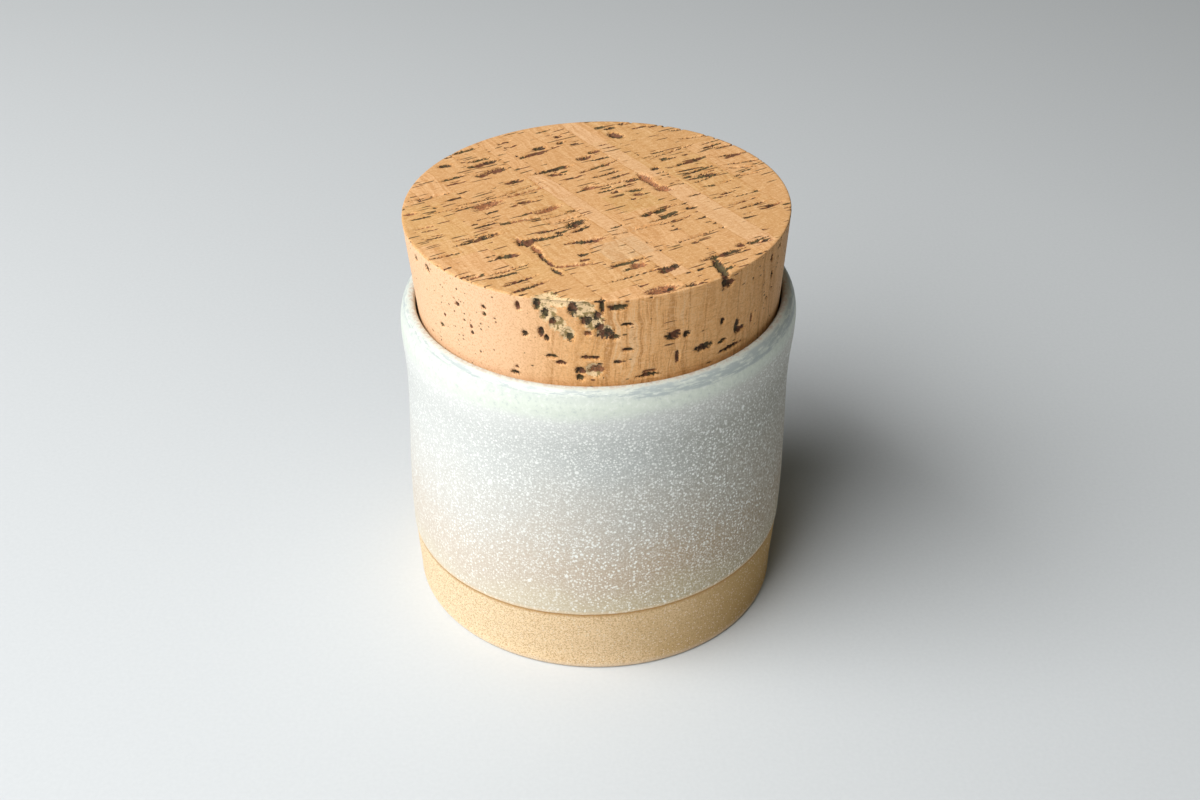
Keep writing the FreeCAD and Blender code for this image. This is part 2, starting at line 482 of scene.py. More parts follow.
# painted shade: the blue streaks reach lower and join up towards the shaded +X side
painted_shade_side = spread(tree, x, -20 * MM, 40 * MM)
low_streak = times_plus(tree, painted_shade_side, -1.6 * MM, STREAK_FOOT)
shoulder = spread(tree, minus(tree, level, low_streak), 0.0, 0.5 * MM)
shoulder = times(tree, shoulder, spread(tree, level, STREAK_TOP, 85.2 * MM))
shoulder = times(tree, shoulder, spread(tree, from_axis, 47.3 * MM, 47.9 * MM))
broken = spread(tree, times_plus(tree, painted_shade_side, 0.06, streak), 0.47, 0.60, 0.0, 0.75)
lip_colour = mixed(tree, times(tree, shoulder, broken), lip_colour, LIP_BLUE)
mouth_side = spread(tree, from_axis, 48.2 * MM, 47.2 * MM)
mottle = times(tree, mouth_side, spread(tree, curd, 0.42, 0.62, 0.10, 0.75))
lip_colour = mixed(tree, mottle, lip_colour, LIP_BROWN)
colour = mixed(tree, band, colour, lip_colour)
rough = spread(tree, fine, 0.3, 0.7, 0.40, 0.52, smooth=False)
rough = minus(tree, rough, times(tree, band, 0.06))
quiet = minus(tree, 1.0, times(tree, band, 0.8))
relief = times_plus(tree, flecks, 0.3, times(tree, fine, 0.8))
relief = times(tree, relief, quiet)
surfaced(tree, shader, colour, rough, relief, 0.35, 0.05 * MM)

levels = np.arange(GLAZE_EDGE + 1.2 * MM, LIP_HEIGHT, 0.6 * MM)
thickness = SHEET + (POOL - SHEET) * np.exp(-(levels - GLAZE_EDGE) / (6 * MM))
thickness *= np.clip((LIP_HEIGHT - levels) / (6 * MM), 0, 1)
wall = np.stack([wall_radius(levels) + thickness, levels], 1)
edge_radius = wall_radius([GLAZE_EDGE])[0]
bead_shape = ((0.0, 0.0), (0.45, 0.03), (0.75, 0.13), (0.93, 0.30), (1.0, 0.55), (1.0, 0.85))
bead = [(edge_radius + POOL * full, GLAZE_EDGE + rise * MM) for full, rise in bead_shape]
lip = (LIP_RADIUS, LIP_HEIGHT)
coat_foot = SEAT_HEIGHT + 0.05 * MM
inner_wall = [(MOUTH_RADIUS, z) for z in np.linspace(CREST_HEIGHT - 2 * MOUTH_ROUND, coat_foot, 12)]
inside = BURIED + UNDER_GLAZE
back_levels = np.arange(LIP_HEIGHT - 4 * MM, GLAZE_EDGE + 2 * MM, -6 * MM)
glaze_outline = np.concatenate([
    bead,
    wall,
    [lip],
    quarter(lip, (LIP_RADIUS, CREST_HEIGHT), (crest_radius, CREST_HEIGHT), 10),
    quarter((crest_radius, CREST_HEIGHT), (MOUTH_RADIUS, CREST_HEIGHT),
            (MOUTH_RADIUS, CREST_HEIGHT - MOUTH_ROUND), 6),
    inner_wall,
    [(MOUTH_RADIUS + inside, coat_foot), (MOUTH_RADIUS + inside, CREST_HEIGHT - MOUTH_ROUND)],
    [(crest_radius, CREST_HEIGHT - inside), (LIP_RADIUS - inside, LIP_HEIGHT)],
    np.stack([wall_radius(back_levels) - inside, back_levels], 1),
    [(edge_radius - BURIED, GLAZE_EDGE + 0.8 * MM)],
    bead[:1],
])
glaze_coat = outline_piece("glaze_coat", glaze_outline)
baked(glaze_coat, wheel, {**hand, "Columns": GLAZE_COLUMNS, "Edge follows": 1.0, "Material": glaze})
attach(glaze_coat, "root")


# --- The cork stopper -------------------------------------------------------
# Sawn from a block of natural cork strips glued side by side, then turned to a taper.
# Its pores run level, across the glue lines, so they are dashes on the top and the front, and
# round holes towards -X and +X, where they meet the side end on.
CORK_STAND = 23.0 * MM
CORK_TAPER = math.tan(math.radians(4.5))
CORK_PLAY = 0.4 * MM
CORK_EDGE = 0.35 * MM
PORE_RUN = math.radians(28.5)       # the way the pores run, from +X towards +Y
STRIP_SKEW = 0.11                   # how far the glue lines are from square to the pores
GLUE_LINES = (-34.0, -25.0, -15.5, -6.5, -2.0, 8.0, 17.2, 23.6, 36.0)  # mm along the pores' run
BLOCK_LENGTH = 21.0                 # mm along a strip, end to end
# Pores that fall at random: length and width in mm of the cell that may hold one, and the
# smallest and largest, as shares of a cell.
LONG_PORES = (11.0, 1.35, 0.14, 0.38)
SPINDLES = (5.5, 2.0, 0.15, 0.36)
SPLITS = (9.0, 0.8, 0.14, 0.34)
FAR_OFF = 9.0                       # further than any flaw or seam matters
FINEST_CUT = 0.4                    # mm, narrowest flaw that the mesh can show
FINEST_MARK = 0.2                   # mm, narrowest that the colour can show
TOP_CELLS = 204
SIDE_ROW = 0.46 * MM

crest_side = MOUTH_RADIUS - CORK_PLAY
cork_top = CREST_HEIGHT + CORK_STAND


def cork_radius(level):
    return crest_side + (level - CREST_HEIGHT) * CORK_TAPER


def disc_points(cells, radius):
    """A square grid eased into a disc, so its cells stay nearly even."""
    steps = np.linspace(-1, 1, cells + 1)
    a, b = np.meshgrid(steps, steps, indexing="ij")
    wide = np.abs(a) > np.abs(b)
    reach = np.where(wide, a, b)
    with np.errstate(divide="ignore", invalid="ignore"):
        turn = np.where(wide, math.pi / 4 * b / a, math.pi / 2 - math.pi / 4 * a / b)
    turn = np.nan_to_num(turn)
    return np.stack([reach * np.cos(turn), reach * np.sin(turn)], -1) * radius


def cork_blank():
    """The turned stopper before its pores open: an even, closed mesh."""
    n = TOP_CELLS
    top = disc_points(n, cork_radius(cork_top) - CORK_EDGE)
    grid = np.arange((n + 1) ** 2).reshape(n + 1, n + 1)
    quads = np.stack([grid[:-1, :-1], grid[1:, :-1], grid[1:, 1:], grid[:-1, 1:]], -1).reshape(-1, 4)
    rim = np.concatenate([grid[:-1, 0], grid[-1, :-1], grid[:0:-1, -1], grid[0, :0:-1]])
    flat = top.reshape(-1, 2)
    points = [np.column_stack([flat, np.full(len(flat), cork_top)])]
    turn = np.arctan2(flat[rim, 1], flat[rim, 0])
    low = CREST_HEIGHT - 2.5 * MM
    rows = [(cork_radius(cork_top) - 0.12 * MM, cork_top - 0.10 * MM)]
    rows += [(cork_radius(z), z) for z in np.arange(cork_top - CORK_EDGE, low, -SIDE_ROW)]
    rows += [(cork_radius(z), z) for z in np.linspace(low, SEAT_HEIGHT + CORK_EDGE, 5)]
    rows += [(cork_radius(SEAT_HEIGHT) - CORK_EDGE, SEAT_HEIGHT)]
    rows += [(cork_radius(SEAT_HEIGHT) * share, SEAT_HEIGHT) for share in (0.8, 0.5, 0.2)]
    faces = [quads]
    upper = rim
    count = len(flat)
    for radius, z in rows:
        ring = [radius * np.cos(turn), radius * np.sin(turn), np.full(len(turn), z)]
        points.append(np.column_stack(ring))
        lower = count + np.arange(len(turn))
        count += len(turn)
        faces.append(np.stack([upper, lower, np.roll(lower, -1), np.roll(upper, -1)], -1))
        upper = lower
    faces = np.concatenate(faces).tolist() + [upper[::-1].tolist()]
    mesh = bpy.data.meshes.new("cork_stopper_turned")
    mesh.from_pydata(np.concatenate(points).tolist(), [], faces)
    mesh.update()
    return mesh


def dash(start_x, start_y, end_x, end_y, width):
    """A pore on the top, given by its two ends and its width in mm: middle, half sizes and turn."""
    middle = Vector(((start_x + end_x) / 2, (start_y + end_y) / 2, cork_top / MM))
    turn = math.atan2(end_y - start_y, end_x - start_x)
    reach = math.hypot(end_x - start_x, end_y - start_y) / 2
    return middle, Vector((reach + 0.3, width * 0.62, 0.6 + width / 2)), turn


def pit(azimuth, level, wide, tall, depth=1.6):
    """A hole on the side, at an angle in degrees and a height in mm: middle, half sizes and turn."""
    turn = math.radians(azimuth)
    out = cork_radius(level * MM) / MM
    middle = Vector((out * math.cos(turn), out * math.sin(turn), level))
    return middle, Vector((wide * 0.55, depth, tall * 0.55)), turn + math.pi / 2


# The largest flaws of this cork, placed one by one; the rest fall at random. A dash on the top is
# its two ends and its width, and a pit on the side its angle in degrees, level, width and height.
DARK_DASHES = [
    (-31.9, -20.8, -23.2, -15.8, 1), (-32.8, -18.5, -23.6, -14.8, 0.5), (-38.2, -27.3, -31.1, -24.3, 0.6),
    (-40.7, -4.8, -31.9, -1, 0.5), (-32.5, 0, -22.3, 4.8, 0.6), (-44.8, 2.8, -36.9, 6.1, 0.5),
    (-39, 12.8, -33.2, 16.1, 0.9), (-40, 21.2, -37.4, 21.9, 1.4), (-32, 20.4, -25.7, 24.4, 1.5),
    (-32.5, 23.4, -28, 25.8, 0.9), (-37.8, 28.2, -31.6, 31.9, 1), (-27.6, 17.4, -23.5, 19.6, 2.2),
    (-30, 15.5, -27.6, 16.4, 1.6), (-22.6, 10.9, -18.6, 12.9, 1.3), (-23, 4.8, -14, 11.5, 0.45),
    (-19, 0.1, -15.7, 1.4, 0.9), (-13.6, -8.9, -4, -3.5, 0.5), (-11.9, -11, -3.2, -6.4, 0.45),
    (-6.7, -12.6, -3, -9.2, 2.1), (-5.4, -15.2, -1.8, -12.2, 1), (-18.4, -19.6, -10.3, -17.5, 1.3),
    (-17.6, -20.6, -14.6, -19.4, 2.2), (-6.9, -20.8, 0.6, -18.6, 1), (-22.3, -26.8, -18, -25.6, 1.5),
    (-23.2, -34.8, -15.7, -30.6, 0.5), (-19.8, -39.8, -13.2, -35.6, 0.7),
    (-18.2, -43.1, -11.1, -38.5, 0.9), (3.5, -32, 10.6, -28.5, 1.1), (15, -35, 19.2, -31.2, 1.5),
    (15.4, -35, 16.6, -32.6, 1.8), (3.9, -38.9, 14.3, -33.1, 0.5), (25, -29.5, 33.4, -24.7, 1.2),
    (27.2, -28.6, 29.9, -37.4, 1.7), (33.1, -22.9, 40.4, -18.7, 0.6), (33.2, -23, 34.6, -22, 1.3),
    (20.2, -41.2, 25, -39.6, 0.8), (11.2, -7.4, 19, -1.8, 0.75), (11.3, -7.4, 13.2, -6.2, 1.4),
    (13.1, -10.6, 21, -5.6, 0.6), (21.7, -4, 24.5, -2.9, 0.9), (5.6, -16, 15.2, -11, 0.4),
    (19.6, -20.6, 27.7, -15.2, 0.45), (19.1, -10.2, 22.3, -7.6, 0.5), (7.6, 11.4, 10.2, 12.8, 1.3),
    (7.9, 5.8, 11.4, 7, 1.1), (9.2, 3.8, 11, 4.6, 1.1), (3, 39.6, 6.2, 37.2, 2.3),
    (2.2, 42.4, 4.6, 43.4, 1), (-4.8, 24.2, -1.8, 25.6, 1.6), (-1.9, 28, 0.4, 29.2, 1.2),
    (-19.4, 25.8, -13, 29.2, 0.9), (-16.2, 30.4, -13.8, 31.8, 1.6), (-11.2, 37.8, -9.4, 38.6, 1.1),
    (-10.4, 34, -8.8, 34.9, 1.1), (-15.4, 16.2, -6.9, 20.4, 1.1), (-12, 15.4, -8.2, 16, 1.2),
    (-4, 16.5, 4.3, 22.8, 0.7), (-0.8, 13.6, 5.9, 17.7, 0.8), (1, 8.6, 9.3, 13.2, 0.5),
    (15.6, 25.7, 24.3, 31.9, 0.5), (19.4, 19.2, 28.1, 24.9, 1), (22.2, 14.6, 29.3, 19.5, 0.9),
    (22.7, 12.8, 29.3, 16.9, 0.5), (24.8, 10.3, 30.6, 14.8, 0.5), (28.1, 7.8, 33.1, 11.1, 0.4),
    (31, 24.4, 38.5, 27.2, 0.8), (29.8, 29.8, 35.2, 31.5, 0.6), (32.3, 19.8, 41.8, 22.8, 0.6),
    (33.1, 18, 39.3, 18.6, 0.6), (34.8, 13.2, 41, 15.7, 0.5), (30.6, 3.2, 33.9, 5.3, 0.6),
    (32.7, -2.3, 39.3, 1.9, 0.5), (34.8, -4.3, 41.8, -0.2, 0.6), (21.8, 35.7, 28.9, 37.8, 0.5),
    (19.3, 40.7, 23.5, 41.9, 0.6), (6.4, 45, 9.3, 46.5, 0.6), (14, 17.6, 15.4, 18.9, 1.2),
    (-13, -24.4, -12, -28, 0.8), (-11.6, -28, -9.4, -31.4, 0.9), (-9.6, -32.6, -7.4, -35.4, 1),
]
DARK_PITS = [
    (272, 106.9, 0.9, 3.6), (270.6, 104.4, 1.4, 2.4), (267.8, 103.2, 2.4, 2.2), (271.2, 101.4, 2, 2),
    (273, 99.6, 3.2, 2.4), (275.4, 98.6, 2.2, 1.2), (254, 107, 1.5, 2.6), (256.3, 104.8, 1.5, 2.2),
    (258.2, 102.6, 1.4, 1.8), (262.9, 98.6, 1.6, 1.9), (264, 106.4, 1.8, 3.4), (254.8, 99.4, 1.2, 2.2),
    (256.2, 98, 1, 1.5), (248.4, 105.6, 1, 2.2), (250, 98.3, 1.2, 1.4), (276.3, 106.6, 3.8, 1.3),
    (292.4, 96.7, 3.4, 2), (296.4, 96.2, 1.6, 1.5), (268.7, 93.1, 3.8, 0.9), (265.6, 89.4, 2, 1.7),
    (265.4, 87.4, 1.6, 1.5), (245.8, 86.6, 2, 1), (302.5, 91, 4.2, 1.7), (309.5, 90.6, 2.2, 0.9),
    (308.8, 96.4, 1, 1.8), (310.2, 106.2, 2.6, 1.7), (308.6, 107.4, 1.6, 4), (293.8, 90.4, 0.8, 3),
    (214, 105.7, 1.6, 1.7), (206.5, 105.6, 1.4, 1.3), (227, 100.6, 1.3, 0.9), (217.7, 91.5, 1.4, 0.8),
    (237.3, 102.8, 0.9, 1), (237.3, 100.8, 0.9, 0.9), (257.5, 93, 2.4, 0.8), (260, 91.4, 2.2, 0.8),
    (315, 92.6, 1.4, 3.6), (316.6, 91.4, 3, 1.5), (331, 105.4, 1.3, 1.6), (332.2, 100.4, 1.2, 1.6),
    (285, 86.9, 5, 0.8), (313, 87.6, 6, 1), (279, 94.8, 2.2, 0.8), (279, 101.8, 2.4, 0.6),
]
RED_DASHES = [
    (-14.6, -5.2, -8.8, -1.2, 1.7), (-21.9, 3.6, -12.8, 9, 0.8), (-23.2, -11, -15.7, -7.7, 0.8),
    (11.8, -43.9, 18.4, -41.2, 2.6), (10.8, 15, 13.6, 10.6, 2.2), (13.4, 10.8, 15.4, 8, 1.4),
    (14.6, 7.6, 18.2, 6.6, 2.4), (-9, -31.8, -1.5, -30.4, 1), (8.6, -31.8, 11.4, -30.8, 2),
    (40.4, -4.4, 44.4, -1.4, 0.9), (-3, 7.4, -0.6, 8.8, 1.5), (-30, -1.8, -23.6, 1.4, 2.2),
    (-29.4, -3.2, -25.6, -1.4, 1.1), (-4.2, -20.4, 1.8, -18.4, 1.6), (-43.4, -12.8, -39, -10.9, 0.6),
    (-18.6, -17.8, -15.8, -21.6, 0.9), (-14.8, -21.8, -12.6, -25, 1.2), (-46.6, -5, -43.6, -4.2, 1),
    (-28.6, -36.4, -25.2, -35, 0.6), (36, -22, 41, -20.2, 0.9),
]
RED_PITS = [
    (270.2, 89.8, 3.4, 1.9), (268, 99.8, 1.6, 1), (293.6, 97.6, 1.4, 1), (303.4, 91.4, 1.6, 1),
    (322, 92.6, 0.9, 2.6), (285.5, 87.9, 3, 0.7),
]
BARK_DASHES = [(-12.6, -45.6, -8.4, -43.8, 2.4)]
BARK_PITS = [
    (255.4, 107.6, 4, 4.4), (257.2, 104.8, 3.8, 4.4), (259.6, 102.2, 3.6, 4), (262.2, 99.8, 3.2, 3.4),
    (260.4, 108, 8, 2.4), (266.6, 106.2, 5.4, 5), (269.6, 103.2, 4.4, 4.6), (272.6, 100.2, 3.6, 3.4),
    (269.4, 89.6, 4, 3.6),
]
DARK_FLAWS = [dash(*one) for one in DARK_DASHES] + [pit(*one) for one in DARK_PITS]
RED_FLAWS = [dash(*one) for one in RED_DASHES] + [pit(*one) for one in RED_PITS]
BARK = [dash(*one) for one in BARK_DASHES] + [pit(*one) for one in BARK_PITS]

# Blocks of another bark: their middle along the pores and across them, their half sizes the same
# two ways, how free of pores they are, and their colour.
CORK_SMOOTH = (0.745, 0.455, 0.245, 1)
CORK_OLIVE = (0.58, 0.35, 0.125, 1)
CORK_GREY = (0.61, 0.4, 0.22, 1)
CORK_GOLD = (0.65, 0.385, 0.15, 1)
BLOCKS = [
    (19.4, 27.0, 2.2, 22.0, 1.0, CORK_SMOOTH), (20.4, -20.0, 3.2, 18.0, 0.9, CORK_SMOOTH),
    (-4.2, -10.0, 2.2, 31.0, 0.9, CORK_SMOOTH), (8.0, -3.6, 5.6, 5.2, 0.3, CORK_OLIVE),
    (-8.2, -24.0, 5.4, 4.6, 0.3, CORK_GREY), (-37.5, 6.0, 6.0, 14.0, 0.6, CORK_GOLD),
    (-29.0, -14.0, 4.5, 14.0, 0.7, CORK_GOLD), (30.0, 2.0, 6.3, 9.0, 0.4, CORK_GOLD),
]


def along_pores(x, y):
    return x * math.cos(PORE_RUN) + y * math.sin(PORE_RUN)


def across_pores(x, y):
    return y * math.cos(PORE_RUN) - x * math.sin(PORE_RUN)


def vector_math(tree, operation, a, b=(0, 0, 0)):
    return node(tree, "ShaderNodeVectorMath", {0: a, 1: b}, operation=operation).outputs[0]


def nearest_flaw(tree, place, flaws, least):
    """How far a place is from the nearest flaw's middle: 1 is that flaw's own edge."""
    nearest = FAR_OFF
    for middle, half, turn in flaws:
        middle = (along_pores(middle.x, middle.y), across_pores(middle.x, middle.y), middle.z)
        away = vector_math(tree, "SUBTRACT", place, middle)
        away = node(tree, "ShaderNodeVectorRotate", {"Vector": away, "Angle": PORE_RUN - turn},
                    rotation_type="Z_AXIS").outputs[0]
        away = vector_math(tree, "MULTIPLY", away, [1 / max(size, least) for size in half])
        nearest = calc(tree, "MINIMUM", length_of(tree, away), nearest)
    return nearest


def scattered_pores(tree, place, run, width, smallest, largest, share, rag):
    """Spindles that lie along the bark: above 0 is inside one, and more is deeper."""
    squeezed = vector_math(tree, "MULTIPLY", place, (1 / run, 1 / width, 1 / width))
    cells = node(tree, "ShaderNodeTexVoronoi", {"Vector": squeezed, "Scale": 1.0, "Randomness": 1.0},
                 feature="F1")
    chance, girth, _ = parts_of(tree, cells.outputs["Color"])
    size = spread(tree, girth, 0.0, 1.0, smallest, largest, smooth=False)
    inside = minus(tree, plus(tree, size, rag), cells.outputs["Distance"])
    there = calc(tree, "LESS_THAN", chance, share)
    return minus(tree, times(tree, plus(tree, inside, 1.0), there), 1.0)


def block_mask(tree, along, across, middle, aside, reach, length):
    """1 inside a block of the glued slab, and 0 outside it."""
    away = calc(tree, "ABSOLUTE", minus(tree, along, middle))
    beside = calc(tree, "ABSOLUTE", minus(tree, across, aside))
    return times(tree, calc(tree, "LESS_THAN", away, reach), calc(tree, "LESS_THAN", beside, length))


def cork_field(tree, place, least_flaw):
    """What the bark is like at a place given in millimetres along the pores, across them and up."""
    along, across, up = parts_of(tree, place)
    wobble = minus(tree, noise(tree, place, 0.25), 0.5)
    glued_place = times_plus(tree, wobble, 0.9, along)
    glued_place = times_plus(tree, across, STRIP_SKEW, glued_place)
    strip, seam = 0.0, FAR_OFF
    for line in GLUE_LINES:
        strip = plus(tree, calc(tree, "GREATER_THAN", glued_place, line), strip)
        gap = calc(tree, "ABSOLUTE", minus(tree, glued_place, line))
        seam = calc(tree, "MINIMUM", gap, seam)
    counted = plus(tree, strip, 0.37)
    odd = node(tree, "ShaderNodeTexWhiteNoise", {"W": counted}, noise_dimensions="1D")
    shift = times(tree, odd.outputs["Value"], BLOCK_LENGTH)
    block = calc(tree, "FLOOR", calc(tree, "DIVIDE", plus(tree, across, shift), BLOCK_LENGTH))
    key = vector(tree, strip, block, 0.5)
    own = node(tree, "ShaderNodeTexWhiteNoise", {"Vector": key}, noise_dimensions="3D")
    tint, density, skew = parts_of(tree, own.outputs["Color"])
    # each block was cut elsewhere in the bark, at its own slight angle
    bent = times(tree, times(tree, minus(tree, skew, 0.5), 0.16), along)
    local = vector(tree, times_plus(tree, tint, 91.0, along),
                   plus(tree, times_plus(tree, density, 57.0, across), bent),
                   times_plus(tree, skew, 43.0, up))
    calm = 0.0
    for middle, aside, reach, length, calmness, _ in BLOCKS:
        inside = block_mask(tree, glued_place, across, middle, aside, reach, length)
        calm = calc(tree, "MAXIMUM", times(tree, inside, calmness), calm)
    crowd = noise(tree, local, 0.085)
    crowd = times_plus(tree, minus(tree, density, 0.5), 0.18, crowd)
    crowd = spread(tree, crowd, 0.36, 0.64)
    crowd = times(tree, crowd, times_plus(tree, calm, -0.85, 1.0))
    top = cork_top / MM
    side_share = spread(tree, along, -32.0, -4.0, 0.04, 0.30)
    fewer = spread(tree, up, top - 1.0, top - 0.3, side_share, 1.0)
    crowd = times(tree, crowd, fewer)
    least = times_plus(tree, fewer, 0.75, 0.25)
    ragged = vector_math(tree, "MULTIPLY", place, (0.45, 2.6, 2.2))
    rag = minus(tree, noise(tree, ragged, 1.0, 3.0, 0.6), 0.5)
    thin_rag = times(tree, rag, 0.30)
    share = times(tree, least, spread(tree, crowd, 0.0, 1.0, 0.14, 0.55))
    pores = scattered_pores(tree, local, *LONG_PORES, share, thin_rag)
    aside = vector_math(tree, "ADD", local, (7, 5, 3))
    share = spread(tree, crowd, 0.3, 1.0, 0.0, 0.26)
    pores = calc(tree, "MAXIMUM", pores, scattered_pores(tree, aside, *SPINDLES, share, thin_rag))
    aside = vector_math(tree, "ADD", local, (3, 9, 1))
    share = times(tree, least, spread(tree, crowd, 0.0, 1.0, 0.22, 0.62))
    splits = scattered_pores(tree, aside, *SPLITS, share, thin_rag)
    # the listed flaws bite less where the bark is firm, so their edges are ragged
    torn = vector_math(tree, "MULTIPLY", place, (1.1, 2.2, 1.8))
    torn = minus(tree, noise(tree, torn, 1.0, 4.0, 0.75), 0.5)
    bite = times_plus(tree, rag, 0.9, times(tree, torn, 2.2))
    flaws = plus(tree, nearest_flaw(tree, place, DARK_FLAWS, least_flaw), bite)
    stains = plus(tree, nearest_flaw(tree, place, RED_FLAWS, least_flaw), bite)
    gentle = times(tree, bite, 0.6)
    bark = plus(tree, nearest_flaw(tree, place, BARK, least_flaw), gentle)
    return {"seam": seam, "tint": tint, "skew": skew, "local": local, "glued_place": glued_place,
            "rag": rag, "pores": pores, "splits": splits, "flaws": flaws, "stains": stains,
            "bark": bark}


def weathering_tree():
    """Geometry Nodes that open the cork's pores and flaws, and lean it as its seat does."""
    tree, given = new_group("open_cork_pores", "GeometryNodeTree", {
        "Blank": "Geometry", "Pore depth": "Float", "Flaw depth": "Float", "Bark depth": "Float",
        "Lean": "Float", "Material": "Material"}, ("Cork", "Geometry"))
    here = node(tree, "GeometryNodeInputPosition").outputs[0]
    place = node(tree, "ShaderNodeVectorRotate", {"Vector": here, "Angle": -PORE_RUN},
                 rotation_type="Z_AXIS").outputs[0]
    place = node(tree, "ShaderNodeVectorMath", {0: place, "Scale": 1 / MM},
                 operation="SCALE").outputs[0]
    stored = node(tree, "GeometryNodeStoreNamedAttribute", {"Geometry": given["Blank"], "Value": place,
                  "Name": "bark_place"}, data_type="FLOAT_VECTOR", domain="POINT").outputs[0]
    field = cork_field(tree, place, FINEST_CUT)
    depth = times(tree, spread(tree, field["pores"], -0.03, 0.10), given["Pore depth"])
    depth = times_plus(tree, spread(tree, field["bark"], 1.1, 0.6), given["Bark depth"], depth)
    cut = calc(tree, "MINIMUM", field["flaws"], field["stains"])
    cut = times(tree, spread(tree, cut, 1.25, 0.45), given["Flaw depth"])
    depth = calc(tree, "MAXIMUM", depth, cut)
    level = parts_of(tree, here)[2]
    open_air = spread(tree, level, SEAT_HEIGHT + 4 * MM, SEAT_HEIGHT + 8 * MM)
    depth = times(tree, depth, open_air)
    outward = node(tree, "GeometryNodeInputNormal").outputs[0]
    sunk = times(tree, depth, -1.0)
    inward = node(tree, "ShaderNodeVectorMath", {0: outward, "Scale": sunk},
                  operation="SCALE").outputs[0]
    opened = node(tree, "GeometryNodeSetPosition", {"Geometry": stored, "Offset": inward}).outputs[0]
    upright = node(tree, "GeometryNodeInputPosition").outputs[0]
    lean = times(tree, given["Lean"], -1.0)
    leaning = node(tree, "ShaderNodeVectorRotate", {"Vector": upright, "Center": (0, 0, CREST_HEIGHT),
                   "Angle": lean}, rotation_type="Y_AXIS").outputs[0]
    leant = node(tree, "GeometryNodeSetPosition", {"Geometry": opened, "Position": leaning}).outputs[0]
    return finished(tree, leant, given["Material"])


CORK_TAN = (0.62, 0.345, 0.14, 1)
CORK_PEACH = (0.7, 0.395, 0.18, 1)
CORK_PALE = (0.83, 0.535, 0.285, 1)
CORK_SIDE = (0.88, 0.455, 0.165, 1)
CORK_END = (0.86, 0.58, 0.385, 1)
CORK_LINE = (0.48, 0.215, 0.06, 1)
PORE_DARK = (0.022, 0.013, 0.006, 1)
PORE_OLIVE = (0.06, 0.05, 0.018, 1)
PORE_RED = (0.13, 0.042, 0.02, 1)
STAIN = (0.32, 0.105, 0.036, 1)
BARK_CREAM = (0.8, 0.59, 0.34, 1)
BARK_OLIVE = (0.21, 0.16, 0.055, 1)

cork, tree, shader = new_material("glued_cork")
place = attribute(tree, "bark_place", "Vector")
field = cork_field(tree, place, FINEST_MARK)
colour = mixed(tree, spread(tree, field["tint"], 0.1, 0.9, smooth=False), CORK_TAN, CORK_PEACH)
colour = mixed(tree, spread(tree, field["skew"], 0.65, 0.95, 0.0, 0.4), colour, CORK_OLIVE)
along, across, up = parts_of(tree, place)
for middle, aside, reach, length, _, block_colour in BLOCKS:
    inside = block_mask(tree, field["glued_place"], across, middle, aside, reach, length)
    colour = mixed(tree, times(tree, inside, 0.65), colour, block_colour)

# the turned side is a warmer orange, and paler where it cuts across the pores' run
side = spread(tree, up, cork_top / MM - 0.1, cork_top / MM - 0.6)
colour = mixed(tree, times(tree, side, 0.70), colour, CORK_SIDE)
end_cut = times(tree, spread(tree, calc(tree, "ABSOLUTE", along), 22.0, 44.0), side)
colour = mixed(tree, times(tree, end_cut, 0.80), colour, CORK_END)

# yearly growth, seen edge on as fine lines square to the pores, over the cork's own fine cells
wave = minus(tree, noise(tree, place, 0.11), 0.5)
wave = vector(tree, times(tree, wave, 4.0), 0.0, 0.0)
waved = vector_math(tree, "ADD", field["local"], wave)
year_place = vector_math(tree, "MULTIPLY", waved, (1.0, 0.05, 0.045))
years = noise(tree, year_place, 1.0, 4.0, 0.7, 0.45)
lined = spread(tree, field["tint"], 0.2, 0.8, 0.20, 0.48)
lined = times(tree, lined, times_plus(tree, side, 0.7, 1.0))
lined = times(tree, lined, calc(tree, "MULTIPLY_ADD", end_cut, -1.4, 1.0, clamp=True))
colour = mixed(tree, times(tree, spread(tree, years, 0.48, 0.60), lined), colour, CORK_LINE)
colour = mixed(tree, times(tree, spread(tree, years, 0.46, 0.34), lined), colour, CORK_PALE)
cells = noise(tree, place, 2.6, 3.0, 0.65)
colour = mixed(tree, spread(tree, cells, 0.51, 0.68, 0.0, 0.45), colour, CORK_LINE)
colour = mixed(tree, spread(tree, cells, 0.48, 0.30, 0.0, 0.55), colour, CORK_PALE)
colour = mixed(tree, spread(tree, field["rag"], 0.03, 0.15, 0.0, 0.40), colour, CORK_LINE)
colour = mixed(tree, spread(tree, field["rag"], -0.04, -0.15, 0.0, 0.40), colour, CORK_PALE)
glued = spread(tree, field["seam"], 0.28, 0.08)
glued = times(tree, glued, spread(tree, cells, 0.35, 0.60, 0.1, 0.60))
colour = mixed(tree, glued, colour, CORK_LINE)

hue = noise(tree, field["local"], 0.33)
lining = mixed(tree, spread(tree, hue, 0.50, 0.58), PORE_DARK, PORE_RED)
lining = mixed(tree, spread(tree, hue, 0.47, 0.40), lining, PORE_OLIVE)
crumbs = noise(tree, place, 2.2, 4.0, 0.7)
lining = mixed(tree, spread(tree, crumbs, 0.54, 0.66, 0.0, 0.55), lining, BARK_OLIVE)
halo = spread(tree, calc(tree, "MAXIMUM", field["pores"], field["splits"]), -0.10, 0.0, 0.0, 0.50)
colour = mixed(tree, halo, colour, CORK_LINE)
colour = mixed(tree, spread(tree, field["flaws"], 1.4, 1.0, 0.0, 0.50), colour, CORK_LINE)
patches = noise(tree, place, 0.6, 3.0, 0.6)
crumbly = mixed(tree, spread(tree, patches, 0.50, 0.60), BARK_CREAM, BARK_OLIVE)
crumbly = mixed(tree, spread(tree, crumbs, 0.46, 0.36, 0.0, 0.6), crumbly, BARK_OLIVE)
